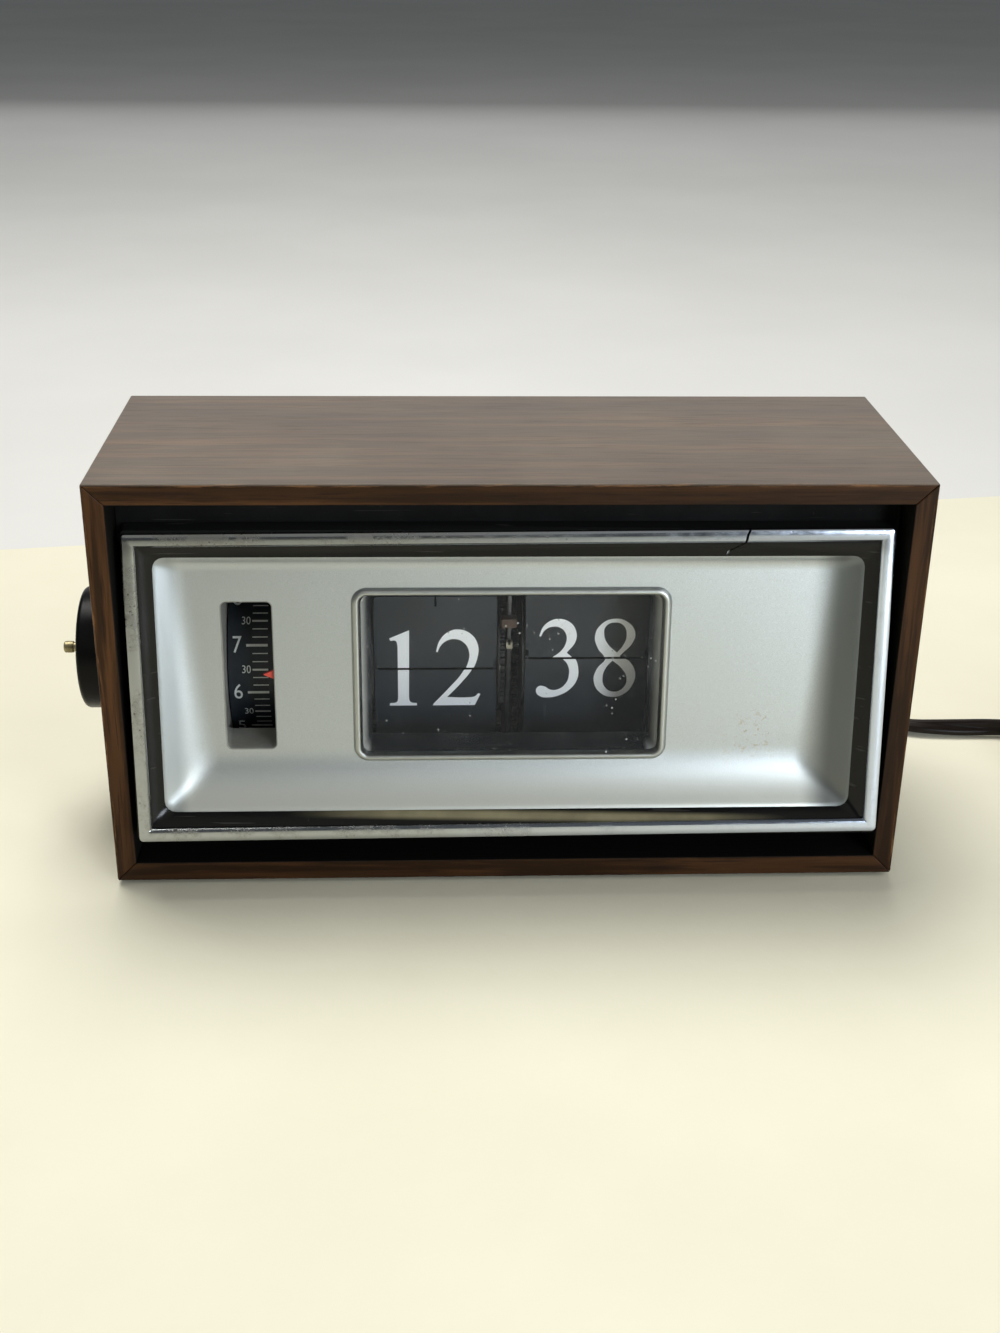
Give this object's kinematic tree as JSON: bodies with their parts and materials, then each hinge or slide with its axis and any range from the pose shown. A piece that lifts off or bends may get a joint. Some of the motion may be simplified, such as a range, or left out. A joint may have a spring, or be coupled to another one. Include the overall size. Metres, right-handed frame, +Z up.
{
  "type": "alarm clock",
  "caption": "Flip clock in a wooden case: black bezel with a chrome ring, silver dial with a window on two flap drums, a side knob that sets the alarm drum, and a flat mains lead.",
  "frame": {"origin": "on the table, under the middle of the clock's box without its lead", "axes": "+X to the right as seen from the front, along the drum shaft; +Y from the dial to the rear cover; +Z up"},
  "size_m": [0.386, 0.14, 0.1165],
  "materials": {
    "walnut": "satin lacquered walnut veneer, worn at the front edges",
    "black_plastic": "satin black moulding",
    "chrome": "plated, lightly pitted",
    "silver": "satin silver",
    "clear": "clear acrylic pane",
    "red": "red paint",
    "sheet_steel": "zinc plated",
    "brass": "turned, tarnished",
    "charcoal": "matt flaps with white numerals",
    "cream_plastic": "moulded acetal",
    "copper": "copper coloured capsule and taped winding",
    "brown_vinyl": "flexible brown vinyl",
    "rubber": "black rubber"
  },
  "bodies": {
    "clock": {"case_top": "walnut", "case_bottom": "walnut", "case_left": "walnut", "case_right": "walnut", "bezel": "black_plastic", "rear_cover": "black_plastic", "strain_relief": "black_plastic", "chrome_trim": "chrome", "dial_panel": "silver", "window_rim": "silver", "window_lens": "clear", "alarm_pointer": "red", "rear_screw_lower_left": "sheet_steel", "rear_screw_lower_right": "sheet_steel", "rear_screw_upper_left": "sheet_steel", "rear_screw_upper_right": "sheet_steel", "chassis_base": "sheet_steel", "end_bracket": "sheet_steel", "frame_plate_left": "sheet_steel", "centre_plate": "sheet_steel", "frame_plate_right": "sheet_steel", "motor_plate": "sheet_steel", "top_crossbar": "sheet_steel", "rear_tie_rod": "sheet_steel", "minute_catch": "sheet_steel", "hour_catch": "sheet_steel", "stator": "sheet_steel", "buzzer_reed": "sheet_steel", "plug_blade_left": "brass", "plug_blade_right": "brass", "minute_flap_stack": "charcoal", "hour_flap_stack": "charcoal", "cord_tie": "cream_plastic", "rotor_capsule": "copper", "motor_coil": "copper", "cord_lead": "brown_vinyl", "cord_coil": "brown_vinyl", "cord_tail": "brown_vinyl", "plug": "brown_vinyl", "motor_lead": "brown_vinyl", "foot_front_left": "rubber", "foot_front_right": "rubber", "foot_rear_left": "rubber", "foot_rear_right": "rubber"},
    "minute_drum": {"drum_shaft": "brass", "minute_spool": "black_plastic", "drive_wheel": "brass", "clutch_spring": "sheet_steel", "clutch_collar": "brass"},
    "hour_drum": {"hour_spool": "black_plastic"},
    "idler": {"hour_idler": "black_plastic"},
    "motor_output": {"motor_pinion": "sheet_steel"},
    "minute_leaf": {"minute_front_flap": "charcoal"},
    "hour_leaf": {"hour_front_flap": "charcoal"},
    "alarm_setting": {"alarm_drum": "charcoal", "alarm_cam": "cream_plastic", "alarm_tube": "brass", "alarm_knob": "black_plastic"},
    "alarm_lever": {"alarm_linkage": "sheet_steel"},
    "alarm_switch": {"alarm_switch": "black_plastic"}
  },
  "joints": [
    {"name": "minute_turn", "type": "hinge", "parent": "clock", "child": "minute_drum", "pos_m": [0.0315, 0.00795, 0.0511], "axis": [1, 0, 0], "continuous": true},
    {"name": "hour_turn", "type": "hinge", "parent": "clock", "child": "hour_drum", "pos_m": [-0.0095, 0.00795, 0.0511], "axis": [1, 0, 0], "continuous": true},
    {"name": "idler_turn", "type": "hinge", "parent": "clock", "child": "idler", "pos_m": [0.0105, 0.01454, 0.03301], "axis": [1, 0, 0], "continuous": true},
    {"name": "motor_pinion_turn", "type": "hinge", "parent": "clock", "child": "motor_output", "pos_m": [0.0595, 0.02, 0.0339], "axis": [1, 0, 0], "continuous": true},
    {"name": "minute_flap_fall", "type": "hinge", "parent": "clock", "child": "minute_leaf", "pos_m": [0.0323, -0.00955, 0.0546], "axis": [1, 0, 0], "range_deg": [0, 175]},
    {"name": "hour_flap_fall", "type": "hinge", "parent": "clock", "child": "hour_leaf", "pos_m": [-0.0103, -0.00955, 0.0515], "axis": [1, 0, 0], "range_deg": [0, 175]},
    {"name": "alarm_set_turn", "type": "hinge", "parent": "clock", "child": "alarm_setting", "pos_m": [-0.0705, 0.00795, 0.0511], "axis": [1, 0, 0], "continuous": true},
    {"name": "alarm_lever_rock", "type": "hinge", "parent": "clock", "child": "alarm_lever", "pos_m": [0.0175, -0.01355, 0.0155], "axis": [1, 0, 0], "range_deg": [-1.5, 4]},
    {"name": "alarm_switch_slide", "type": "slide", "parent": "clock", "child": "alarm_switch", "axis": [1, 0, 0], "range_m": [0, 0.006]}
  ],
  "couplings": [
    {"joint": "hour_turn", "follows": "minute_turn", "ratio": 0.041667},
    {"joint": "idler_turn", "follows": "minute_turn", "ratio": -0.25},
    {"joint": "motor_pinion_turn", "follows": "minute_turn", "ratio": -6}
  ]
}
